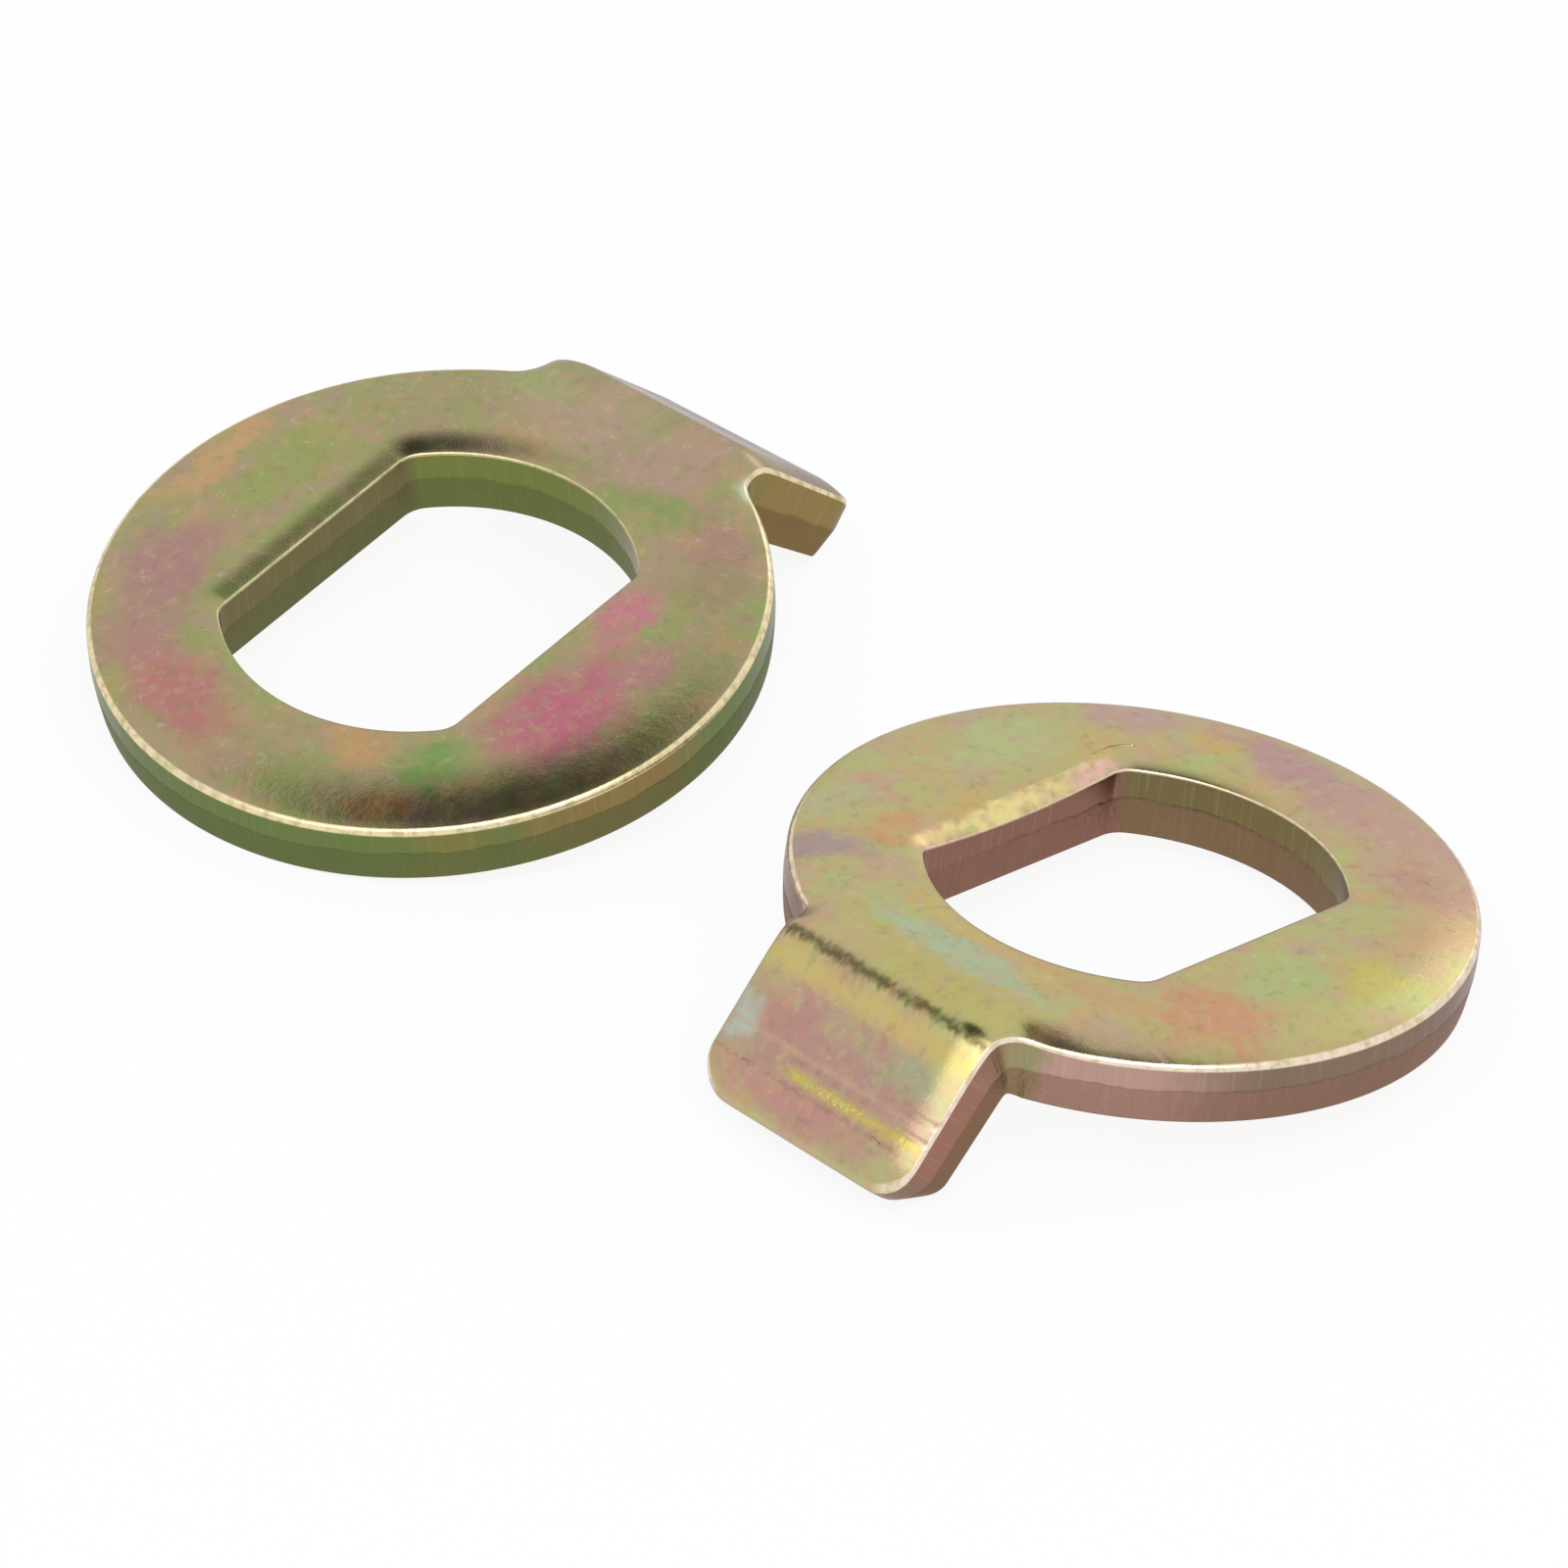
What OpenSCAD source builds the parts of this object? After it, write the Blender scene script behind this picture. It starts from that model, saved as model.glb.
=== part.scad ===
// A pair of torque washers, as punched and bent from sheet and lying loose side by side.
//
// Each washer is one piece of sheet: a disc with a double-D hole that fits an axle with two flats,
// and one tab bent down that stops the washer from turning in its slot. The punch enters from the
// top, so the upper edges are rounded over and the lower part of each cut wall draws in.
// Each one lies on the tip of its tab and on the far edge of its disc.

/* [Disc] */
// Outside diameter of the disc
disc_d = 23.6; // [21:0.1:30]
// Thickness of the sheet
sheet_t = 2.8; // [2:0.1:3.2]
// Height of the edge rounding that the punch rolls over all round the outside
roll_h = 0.5; // [0.2:0.05:0.6]
// Width of that rounding on the disc, in from the edge
disc_roll_w = 2.2; // [0.6:0.1:2.4]
// Width of that rounding on the tab
roll_w = 1.4; // [0.6:0.1:1.4]
// Height of the smooth band of the cut walls, below the rounding
burnish_h = 0.9; // [0.4:0.1:1.2]
// How far the torn lower part of the outside wall draws in
tear_in = 0.18; // [0.05:0.01:0.3]

/* [Axle hole] */
// Diameter of the hole between its two round sides
hole_d = 14.4; // [12:0.1:15]
// Distance between the hole's two flats
hole_flats = 10.6; // [8:0.1:11.6]
// Radius of the four corners between the round sides and the flats
hole_corner_r = 0.8; // [0.3:0.1:1.2]
// Height of the rounding of the hole's upper edge
hole_roll_h = 0.25; // [0.1:0.05:0.4]
// Width of that rounding
hole_roll_w = 0.8; // [0.4:0.1:1]
// How far the torn lower part of the hole's wall opens out
hole_tear_out = 0.12; // [0.05:0.01:0.2]

/* [Tab] */
// Width of the tab, which fits a slot 10 wide
tab_w = 9.7; // [7:0.1:9.9]
// Radius of the fillets between the disc and the sides of the tab
neck_r = 0.7; // [0.5:0.1:1.4]
// How far inside the disc's edge the bend starts
bend_inset = 1.4; // [0.8:0.1:1.6]
// Angle that the left washer's tab is bent down from the disc
left_bend = 48.5; // [40:0.5:65]
// Angle that the right washer's tab is bent down
right_bend = 54; // [40:0.5:65]
// Radius on the inside of the bend
bend_r = 0.55; // [0.2:0.05:1]
// Length of the left washer's tab past the bend
left_tab_len = 5.9; // [4:0.1:7]
// Length of the right washer's tab past the bend
right_tab_len = 4.8; // [4:0.1:7]
// Thickness of the tab at its tip, where the forming die thins it
tip_t = 2.5; // [1.8:0.05:2.7]
// Angle by which the tip's end face leans in from square
tip_lean = 12; // [6:1:20]
// Radius of the tip's two corners
tip_corner_r = 1.5; // [1.5:0.1:2.5]

/* [Layout] */
// Distance between the centres of the two discs
centres = 28.4; // [28.2:0.1:50]
// Direction from the left disc to the right one, seen from above
line_turn = -35.2; // [-60:0.1:0]
// Shift of the pair that brings the middle of its outline back to the origin
pair_shift = -0.6; // [-1:0.1:1]
// Direction in which the left washer's tab points
left_turn = 48; // [20:0.1:80]
// Direction in which the right washer's tab points
right_turn = 224; // [200:0.1:260]

/* [Hidden] */
$fn = 96;

// Steps in a rounded edge, in a fillet, round the bend and round a corner of the tip
roll_steps = 6;
fillet_steps = 8;
bend_steps = 12;
corner_steps = 6;
// Steps in a round side of the hole and in a corner between it and a flat
hole_steps = 24;
hole_corner_steps = 4;
// Reach of a cutter past what it cuts
past = 1;
// How far the tab's fillets bite into the edge of the disc, so that the two surfaces cross
bite = 0.03;

disc_r = disc_d / 2;
foot_r = disc_r - tear_in;
half_w = tab_w / 2;
edge_top = sheet_t - roll_h;
edge_low = edge_top - burnish_h;
hole_edge_low = sheet_t - hole_roll_h - burnish_h;

// A tab is given as [angle of its bend, length past the bend]. These are the places of its bend and
// of the rounding of its tip, measured along the flat blank before it is bent.
bend_x = disc_r - bend_inset;
function bend_len(form) = form[0] * PI / 180 * (bend_r + sheet_t / 2);
function leg_x(form) = bend_x + bend_len(form);
function corner_x(form) = leg_x(form) + form[1] - tip_corner_r;
corner_y = half_w - tip_corner_r;

// The centre of the fillet between the disc and one side of the tab
neck_y = half_w + neck_r;
neck_x = sqrt(pow(disc_r + neck_r - bite, 2) - pow(neck_y, 2));
neck_turn = atan2(neck_x, neck_y);

// Where the blank of the tab starts, buried in the disc
root_x = bend_x - roll_w - 1;

// How much shorter the lower edge of the tip is than its upper edge
tip_draw = tip_t * tan(tip_lean);

// A point of the blank, as [along, across, height], once the bend is made
function bent(p, form) =
    let (
        run = min(max(p[0] - bend_x, 0), bend_len(form)),
        turn = form[0] * run / bend_len(form),
        reach = bend_r + p[2],
        rest = p[0] - bend_x - run
    )
    [
        bend_x + reach * sin(turn) + rest * cos(turn),
        p[1],
        -bend_r + reach * cos(turn) - rest * sin(turn)
    ];

// A washer leans until its tab's tip and the far edge of its disc are level
function tip(form) = bent([leg_x(form) + form[1] - tip_draw, 0, sheet_t - tip_t], form);
function lean(form) = atan2(-tip(form)[2], tip(form)[0] + foot_r);
function lift(form) = foot_r * sin(lean(form));

// Points of a rounded upper edge as [distance from the wall, height], from the wall to the flat
function roll_points(width, height) = [
    for (i = [0:roll_steps])
        let (turn = 90 * i / roll_steps)
        [width * (1 - cos(turn)), sheet_t - height * (1 - sin(turn))]
];

// One side of the punched outside wall, from below: the torn part, the smooth band, the rounding
function punched_wall(width) = concat([[tear_in, 0], [0, edge_low]], roll_points(width, roll_h));
wall = punched_wall(roll_w);

// Half outline of the disc, from the middle of its lower face to the middle of its upper face
disc_outline = concat(
    [[0, 0]],
    [for (p = punched_wall(disc_roll_w)) [disc_r - p[0], p[1]]],
    [[0, sheet_t]]
);

// The wall that the punch leaves in the hole, from below, as [distance set back, height]
hole_wall = concat(
    [[hole_tear_out, -past], [hole_tear_out, 0], [0, hole_edge_low]],
    roll_points(hole_roll_w, hole_roll_h),
    [[hole_roll_w, sheet_t + past]]
);

// Stations round the right half of the hole. Each one is a centre and the direction in which the
// wall lies from it, so that one more length sets the whole outline back evenly, corners included.
hole_core_r = hole_d / 2 - hole_corner_r;
hole_core_y = hole_flats / 2 - hole_corner_r;
hole_core_turn = asin(hole_core_y / hole_core_r);
hole_core_x = hole_core_r * cos(hole_core_turn);
hole_side = [
    for (i = [1:hole_steps - 1])
        let (turn = hole_core_turn * (2 * i / hole_steps - 1))
        [hole_core_r * [cos(turn), sin(turn)], turn]
];
function hole_corner(end) = [
    for (i = [0:hole_corner_steps])
        let (turn = end * (hole_core_turn + (90 - hole_core_turn) * i / hole_corner_steps))
        [[hole_core_x, end * hole_core_y], turn]
];
function reversed(items) = [for (i = [len(items) - 1:-1:0]) items[i]];
hole_half = concat(reversed(hole_corner(-1)), hole_side, hole_corner(1));

// The hole's whole outline, set back by a distance
function hole_outline(back) = [
    for (half = [1, -1])
        for (station = hole_half)
            half * (station[0] + (hole_corner_r + back) * [cos(station[1]), sin(station[1])])
];

// Stations along one side of the blank of the tab, from its root to its tip. Each one is a centre,
// a radius and a direction: the outline lies at the radius from the centre, less what it is set in.
function fillet_station(turn) = [[neck_x, neck_y], -neck_r, [sin(turn), cos(turn)]];
function side_station(x) = [[x, 0], half_w, [0, 1]];
function corner_station(turn, form) = [
    [corner_x(form), corner_y], tip_corner_r, [sin(turn), cos(turn)]
];
function stations(form) = concat(
    [side_station(root_x)],
    [for (i = [0:fillet_steps]) fillet_station(neck_turn * (1 - i / fillet_steps))],
    [for (i = [1:bend_steps]) side_station(neck_x + (leg_x(form) - neck_x) * i / bend_steps)],
    [for (i = [0:corner_steps]) corner_station(90 * i / corner_steps, form)]
);
levels = len(wall);

// The forming die thins the leg from below and leans its end face: both grow towards the tip
function thinned(x, form) =
    (sheet_t - tip_t) * min(max((x - leg_x(form)) / (form[1] - tip_draw), 0), 1);

// One point of the tab: its station, the level up its wall, and the side that it is on
function tab_point(station, level, side, form) =
    let (
        flat = station[0] + (station[1] - wall[level][0]) * station[2],
        lowest = level == 0,
        draw = lowest && flat[0] > corner_x(form) ? (tip_draw - tear_in) * station[2][0] : 0,
        x = flat[0] - draw
    )
    bent([x, side * flat[1], lowest ? thinned(x, form) : wall[level][1]], form);

// The tab with its neck, as a skin over the stations of both sides
module tab(form) {
    stations = stations(form);
    last = len(stations) - 1;
    points = [
        for (side = [-1, 1])
            for (station = stations)
                for (level = [0:levels - 1])
                    tab_point(station, level, side, form)
    ];
    count = (last + 1) * levels;
    top = levels - 1;
    walls = [
        for (station = [0:last - 1])
            for (level = [0:top - 1])
                let (
                    a = station * levels + level,
                    b = a + levels
                )
                each [
                    [a, a + 1, b + 1],
                    [a, b + 1, b],
                    [count + a, count + b + 1, count + a + 1],
                    [count + a, count + b, count + b + 1]
                ]
    ];
    faces_across = [
        for (station = [0:last - 1])
            let (
                a = station * levels,
                b = a + levels
            )
            each [
                [a, b, count + b],
                [a, count + b, count + a],
                [a + top, count + b + top, b + top],
                [a + top, count + a + top, count + b + top]
            ]
    ];
    tip_face = [
        for (level = [0:top - 1])
            let (a = last * levels + level)
            each [
                [a, a + 1, count + a + 1],
                [a, count + a + 1, count + a]
            ]
    ];
    root_face = [
        for (level = [0:top - 1])
            each [
                [level, count + level + 1, level + 1],
                [level, count + level, count + level + 1]
            ]
    ];
    polyhedron(points, concat(walls, faces_across, tip_face, root_face));
}

// The double-D hole, as a skin over its outline at each level of its wall
module axle_hole() {
    points = [
        for (level = hole_wall)
            for (p = hole_outline(level[0]))
                [p[0], p[1], level[1]]
    ];
    count = 2 * len(hole_half);
    top = len(hole_wall) - 1;
    walls = [
        for (level = [0:top - 1])
            for (i = [0:count - 1])
                let (
                    a = level * count + i,
                    b = level * count + (i + 1) % count
                )
                [a, a + count, b + count, b]
    ];
    lower_face = [for (i = [0:count - 1]) i];
    upper_face = [for (i = [count - 1:-1:0]) top * count + i];
    polyhedron(points, concat(walls, [lower_face, upper_face]));
}

module disc() {
    difference() {
        rotate_extrude()
            polygon(disc_outline);
        axle_hole();
    }
}

module washer(form) {
    disc();
    tab(form);
}

// A washer at rest, with its tab pointing in the direction turn
module lying(form, turn, side) {
    translate([0, pair_shift, 0])
        rotate([0, 0, line_turn])
            translate([side * centres / 2, 0, lift(form)])
                rotate([0, 0, turn - line_turn])
                    rotate([0, -lean(form), 0])
                        washer(form);
}

module left_washer() {
    color("darkkhaki")
        lying([left_bend, left_tab_len], left_turn, -1);
}

module right_washer() {
    color("burlywood")
        lying([right_bend, right_tab_len], right_turn, 1);
}

left_washer();
right_washer();
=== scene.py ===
# %% [markdown]
# A pair of torque washers.
#
# Each washer is one piece of thick sheet steel, punched out, bent and plated. The disc goes over a
# hub axle with two flats, and its tab is bent down into the slot that the axle sits in, so the
# axle can't turn. The plating is zinc with a yellow chromate film, thin enough to show colours
# from olive to gold, pink and pale green. The washers lie loose, each on its tab and its far edge.
#
# The first cell loads the solids that this scene dresses. They fix the size and the place of
# everything, so nothing here is scaled or fitted by eye.

# %% Load the solids
import math

import bmesh
import bpy
from mathutils import Matrix, Vector, noise


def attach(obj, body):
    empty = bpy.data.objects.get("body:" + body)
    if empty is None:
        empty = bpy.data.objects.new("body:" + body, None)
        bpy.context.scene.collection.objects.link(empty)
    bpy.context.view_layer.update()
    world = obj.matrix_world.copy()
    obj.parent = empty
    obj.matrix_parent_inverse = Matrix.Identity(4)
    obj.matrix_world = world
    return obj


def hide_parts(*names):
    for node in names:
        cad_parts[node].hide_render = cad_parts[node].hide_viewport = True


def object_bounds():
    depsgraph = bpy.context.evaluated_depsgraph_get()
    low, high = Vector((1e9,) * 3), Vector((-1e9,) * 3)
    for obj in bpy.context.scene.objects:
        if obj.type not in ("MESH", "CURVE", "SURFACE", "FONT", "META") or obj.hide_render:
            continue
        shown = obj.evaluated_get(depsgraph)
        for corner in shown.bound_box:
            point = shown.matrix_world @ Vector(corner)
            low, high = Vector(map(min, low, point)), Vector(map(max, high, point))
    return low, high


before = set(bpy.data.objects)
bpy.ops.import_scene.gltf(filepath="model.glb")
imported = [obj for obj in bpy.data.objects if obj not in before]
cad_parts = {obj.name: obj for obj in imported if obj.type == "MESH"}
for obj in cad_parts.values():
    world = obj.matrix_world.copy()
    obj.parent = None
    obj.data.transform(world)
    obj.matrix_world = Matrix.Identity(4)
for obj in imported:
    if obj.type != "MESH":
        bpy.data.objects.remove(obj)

solid_box = [list(corner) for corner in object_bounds()]
print("solids' box, mm:", [[round(v * 1000, 2) for v in corner] for corner in solid_box])

# %% [markdown]
# The camera comes early, because every look at the work goes through it. A small metal part is
# photographed from far away with a long lens, which keeps its circles almost true ellipses. The
# place, the aim and the lens were found by matching the rims, the holes and the tabs. An alternative
# is to turn the camera by hand until it looks right, but a wrong distance then bends every curve.

# %% Camera
camera_place = Vector((-0.020278, -0.627574, 0.450832))
camera_right = Vector((0.999578, -0.014754, 0.025014))
camera_down = Vector((0.011749, -0.582226, -0.812942))
frame_pixels = 1600
lens_pixels = 23206.5

camera = bpy.data.objects.new("camera", bpy.data.cameras.new("camera"))
bpy.context.scene.collection.objects.link(camera)
camera_back = camera_right.cross(-camera_down)
turned = Matrix((camera_right, -camera_down, camera_back)).transposed()
camera.matrix_world = Matrix.Translation(camera_place) @ turned.to_4x4()
camera.data.sensor_width = 36
camera.data.lens = lens_pixels / frame_pixels * camera.data.sensor_width
bpy.context.scene.camera = camera
print("lens", round(camera.data.lens), "mm, from", round(camera_place.length, 2), "m")

# %% [markdown]
# A punched part is best thought of as its flat blank: an outline with a thickness, which is bent
# afterwards. All sizes here are in millimetres on that blank, with the middle of the disc at zero
# and the tab pointing along X. Most of them are the sizes of the solids. The corners of the hole
# and of the tip, the rolled edges and the crest of the bend follow the photo more closely than the
# solids do. Torn_top is how high the torn part of a wall goes and tear_in how far it draws in. The
# tab thins to tip_t, and the foot of its end face is drawn in by tip_draw. The skin lies a hair
# inside the solids' walls, so that it never stands out of their box.

# %% Sizes of the blank
sheet = 2.8
disc_r = 11.8
hole_r, hole_flat, hole_corner_r = 7.2, 5.3, 1.0
half_tab = 4.85
neck_r = 0.7
corner_r = 1.57
bend_start = disc_r - 1.4
bend_inner, crest_r = 0.55, 0.9
tear_in, torn_top = 0.18, 1.3
hole_tear_out, hole_torn_top = 0.12, 1.5
tip_t = 2.5
tip_lean = 12
tip_draw = tip_t * math.tan(math.radians(tip_lean))
skin = 0.02
print("blank", sheet, "mm thick, disc", 2 * disc_r, "mm across, hole", 2 * hole_r, "by", 2 * hole_flat)

# %% [markdown]
# The two washers come from one die but not from one stroke: in the photo the left tab is bent less
# and reaches further than the right one. Each washer therefore gets its own form, which holds the
# angle of its bend and the places of its bend and its tip along the blank. It also holds the
# direction in which the punch sat a little off its middle, because the edges are rolled over more
# on that side of the disc, and on the other side of the hole. Crest is the angle in the bend from
# which its outside gets sharper, and bevel says how far one flat of the hole is pressed to a bevel.

# %% The form of each washer
class Form:
    """What the strokes of the punch and the die gave one washer, measured on its flat blank."""

    def __init__(self, bend, length, slack, crest, bevel):
        self.slack, self.crest, self.bevel = math.radians(slack), math.radians(crest), bevel
        self.angle = math.radians(bend)
        self.bend_run = self.angle * (bend_inner + sheet / 2)
        self.leg_x = bend_start + self.bend_run
        self.end = self.leg_x + length
        self.corner_x = self.end - corner_r


left_form = Form(bend=48.5, length=5.9, slack=222, crest=8.7, bevel=0.0)
right_form = Form(bend=54, length=4.8, slack=46, crest=0.0, bevel=1.0)
print("blanks are", [round(disc_r + form.end, 2) for form in (left_form, right_form)], "mm long")

# %% [markdown]
# The outline of the blank is a chain of stations, each with a point and the direction that faces
# out of the metal. One half runs from the far side of the disc through the small fillet at the
# neck and round the corner of the tip, and the other half is its mirror image. The facing
# direction lets a later step set the outline in evenly, as the rounded edge needs.

# %% Stations round the outline
def arc(centre, radius, start, end, steps, hollow=False):
    """Stations along an arc. A hollow arc, such as a fillet, has its metal outside the circle."""
    stations = []
    for i in range(steps):
        turn = math.radians(start + (end - start) * i / steps)
        way = Vector((math.cos(turn), math.sin(turn)))
        stations.append((Vector(centre) + radius * way, -way if hollow else way))
    return stations


def line(start, end, facing, steps):
    """Stations along a straight stretch, which all face the same way."""
    return [(Vector(start).lerp(Vector(end), i / steps), Vector(facing)) for i in range(steps)]


neck_y = half_tab + neck_r
neck_x = math.sqrt((disc_r + neck_r) ** 2 - neck_y ** 2)
neck_turn = math.degrees(math.atan2(neck_y, neck_x))
hole_turn = math.degrees(math.asin(hole_flat / hole_r))

# How many stations each stretch gets: three on the disc, then the neck, the tab and its tip
far_steps, side_steps, near_steps = 46, 84, 20
neck_steps, leg_steps, turn_steps, end_steps = 9, 24, 14, 12
disc_stations = far_steps + side_steps + near_steps
tab_rows = neck_steps + leg_steps
across = 2 * (turn_steps + end_steps)


def mirrored(stations):
    """The same stations on the other side of the blank, in the order that goes on round it."""
    return [(Vector((p.x, -p.y)), Vector((n.x, -n.y))) for p, n in reversed(stations)]


def outline_of(form):
    """All stations of a washer's outline, from the far side round the tab and back."""
    half = arc((0, 0), disc_r, 180, 180 - hole_turn, far_steps)
    half += arc((0, 0), disc_r, 180 - hole_turn, hole_turn, side_steps)
    half += arc((0, 0), disc_r, hole_turn, neck_turn, near_steps)
    half += arc((neck_x, neck_y), neck_r, 180 + neck_turn, 270, neck_steps, hollow=True)
    half += line((neck_x, half_tab), (form.corner_x, half_tab), (0, 1), leg_steps)
    half += arc((form.corner_x, half_tab - corner_r), corner_r, 90, 0, turn_steps)
    half += line((form.end, half_tab - corner_r), (form.end, 0), (1, 0), end_steps)
    return half + [(Vector((form.end, 0)), Vector((1, 0)))] + mirrored(half[1:])


print("stations of the outline:", len(outline_of(left_form)), "with", tab_rows * 2 + across, "on the tab")

# %% [markdown]
# The hole gets a station for each station of the disc and for each column of the tab's face, so that
# the metal between can be filled with rings. It has two round sides, two flats and four small
# rounded corners. Each station is a centre and a direction, so one more length sets the whole
# outline back evenly, as its rounded lip needs.

# %% Stations round the hole
core_r, core_y = hole_r - hole_corner_r, hole_flat - hole_corner_r
core_turn = math.asin(core_y / core_r)
core_x = core_r * math.cos(core_turn)
hole_side_steps, hole_corner_steps, hole_flat_steps = 40, 6, 78


def round_side(turn):
    """A station on the round side of the hole, as the centre of its corner and the way it faces."""
    return core_r * Vector((math.cos(turn), math.sin(turn))), turn


def hole_half():
    """Stations of the upper half, from the far side over the flat to the side of the tab."""
    far_end, near_end = Vector((-core_x, core_y)), Vector((core_x, core_y))

    def corner(centre, start):
        swing = (core_turn - math.pi / 2) / hole_corner_steps
        return [(centre, start + swing * i) for i in range(hole_corner_steps)]

    half = [round_side(math.pi - core_turn * i / hole_side_steps) for i in range(hole_side_steps)]
    half += corner(far_end, math.pi - core_turn)
    half += [(far_end.lerp(near_end, i / hole_flat_steps), math.pi / 2) for i in range(hole_flat_steps)]
    half += corner(near_end, math.pi / 2)
    near_side_steps = disc_stations + across // 2 - len(half)
    return half + [round_side(core_turn * (1 - i / near_side_steps)) for i in range(near_side_steps + 1)]


def hole_stations():
    """All stations of the hole, in the same order as the outline's."""
    half = hole_half()
    return half + [(Vector((centre.x, -centre.y)), -turn) for centre, turn in reversed(half[1:-1])]


print("stations round the hole:", len(hole_stations()))

# %% [markdown]
# The section of a punched wall has three parts. The punch first drags the sheet down, which rolls
# the upper edge over. It then cuts a smooth band that follows the tool, and at last the metal tears,
# which leaves a rough part that draws in. The roll is wide and shallow, and ends at the wall in a
# small round corner, which is what catches the light as a thin bright line. A plain rounding in its
# place would look soft, like a moulded part. The sizes below are what every edge has, and what the
# disc, the tip of the tab and the side of the slack add to it.

# %% The rolled edge
corner_steps, roll_steps = 6, 10
roll_power, bevel_power = 2.0, 1.15
tab_width, disc_width = 1.3, 1.7
tab_depth, disc_depth, slack_depth = 0.26, 0.14, 0.12
edge_corner, disc_corner, tip_corner = 0.2, 0.08, 0.26
lip_least, lip_more = (0.35, 0.07, 0.07), (0.85, 0.17, 0.05)
bevel_width, bevel_depth, bevel_reach = 0.6, 0.5, 4.9


def rolled_edge(width, depth, corner, power=roll_power):
    """Set-back and height up a rolled edge: the small corner, then the wide shallow roll."""
    slope = math.atan(power * depth / width)
    rows = []
    for i in range(corner_steps + 1):
        turn = math.pi / 2 + (slope - math.pi / 2) * i / corner_steps
        down = depth + corner * (math.cos(slope) - math.cos(turn))
        rows.append((corner * (1 - math.sin(turn)), sheet - down))
    start = rows[-1][0]
    for i in range(1, roll_steps + 1):
        rows.append((start + width * i / roll_steps, sheet - depth * (1 - i / roll_steps) ** power))
    return rows


def rising(value, start, end):
    """0 before start and 1 past end, with a smooth rise between them."""
    share = min(max((value - start) / (end - start), 0), 1)
    return share * share * (3 - 2 * share)


def rim_profile(point, form):
    """The rolled edge at a point of the outline: wide on the disc and narrow on the tab."""
    turn = math.atan2(point.y, point.x)
    past_neck = math.degrees(abs(turn)) - neck_turn
    wide, deep = rising(past_neck, -3, 13), rising(past_neck, -6, 4)
    at_tip = rising(point.x - form.end, -1.5, -0.3)
    depth = tab_depth + deep * (disc_depth + slack_depth * math.cos(turn - form.slack))
    corner = edge_corner + disc_corner * wide + tip_corner * at_tip
    return rolled_edge(tab_width + disc_width * wide, depth, corner)


def lip_profile(centre, turn, form):
    """The rolled lip of the hole, which is widest opposite the slack. A bevel swells along its flat."""
    opposite = ((1 - math.cos(turn - form.slack)) / 2) ** 1.5
    width, depth, corner = (least + more * opposite for least, more in zip(lip_least, lip_more))
    on_flat = rising(-math.sin(turn), 0.9, 1.0)
    swell = form.bevel * on_flat * max(0.0, 1 - (centre.x / bevel_reach) ** 2)
    width += (bevel_width - width) * swell
    depth += (bevel_depth - depth) * swell
    return rolled_edge(width, depth, corner, roll_power + (bevel_power - roll_power) * swell)


far_roll = rim_profile(Vector((-disc_r, 0)), left_form)
print("the roll at the left washer's far edge, mm:", [[round(v, 2) for v in row] for row in far_roll[::5]])

# %% [markdown]
# Each ring of the washer has a place and a height for every station. The lower edge of the smooth
# band wanders, as it does on real punched parts, so the rings below and above it wander too. The
# torn part's rings are pairs: a share of how far it draws in, and a share of the height it ends at.

# %% Rings of the section
torn_steps = [(1.0, 0.0), (0.93, 0.04), (0.8, 0.12), (0.6, 0.3), (0.4, 0.5), (0.2, 0.72), (0.06, 0.9)]
band_steps = [0.0, 0.3, 0.65]
wall_levels = len(torn_steps + band_steps)
long_wave, short_wave = 0.1, 0.04


def wandering(point, size, seed):
    """A smooth up and down between -1 and 1 that is always the same at the same point."""
    return noise.noise(Vector((point.x * size, point.y * size, seed)))


def wall_rings(spot, profiles, torn, low, seed):
    """Rings up one punched wall, each as a list of (point, height). A spot is a station set back."""
    every = range(len(profiles))
    base = [spot(i, 0) for i in every]
    edge = [low + long_wave * wandering(p, 0.9, seed) + short_wave * wandering(p, 4, seed + 5) for p in base]
    rings = [[(spot(i, torn * share), edge[i] * rise) for i in every] for share, rise in torn_steps]
    for share in band_steps:
        rings.append([(base[i], edge[i] + (profiles[i][0][1] - edge[i]) * share) for i in every])
    for level in range(len(profiles[0])):
        rings.append([(spot(i, profiles[i][level][0]), profiles[i][level][1]) for i in every])
    return rings


def outer_rings(form):
    """The rings up the rim and over its rolled edge."""
    stations = outline_of(form)
    profiles = [rim_profile(point, form) for point, _ in stations]

    def spot(i, back):
        return stations[i][0] - (back + skin) * stations[i][1]
    return wall_rings(spot, profiles, tear_in, torn_top, 3.0)


def inner_rings(form):
    """The rings up the wall of the hole and over its lip."""
    stations = hole_stations()
    profiles = [lip_profile(centre, turn, form) for centre, turn in stations]

    def spot(i, back):
        centre, turn = stations[i]
        return centre + (hole_corner_r + back) * Vector((math.cos(turn), math.sin(turn)))
    return wall_rings(spot, profiles, hole_tear_out, hole_torn_top, 8.0)


print("rings up each wall and over its rolled edge:", len(outer_rings(left_form)))

# %% [markdown]
# Bending moves each point of the blank round the bend's axis. Points before the bend stay, points
# in it turn by their share of the angle, and points past it follow straight on. The die also thins
# the tab a little towards its tip, leans its end face in, and presses the outside of the bend
# sharper than a free bend would be. Bending the finished blank, instead of modelling a bent tab,
# keeps the walls, the rolled edges and the pattern of the plating running round the bend as they
# do in real sheet.

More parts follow.
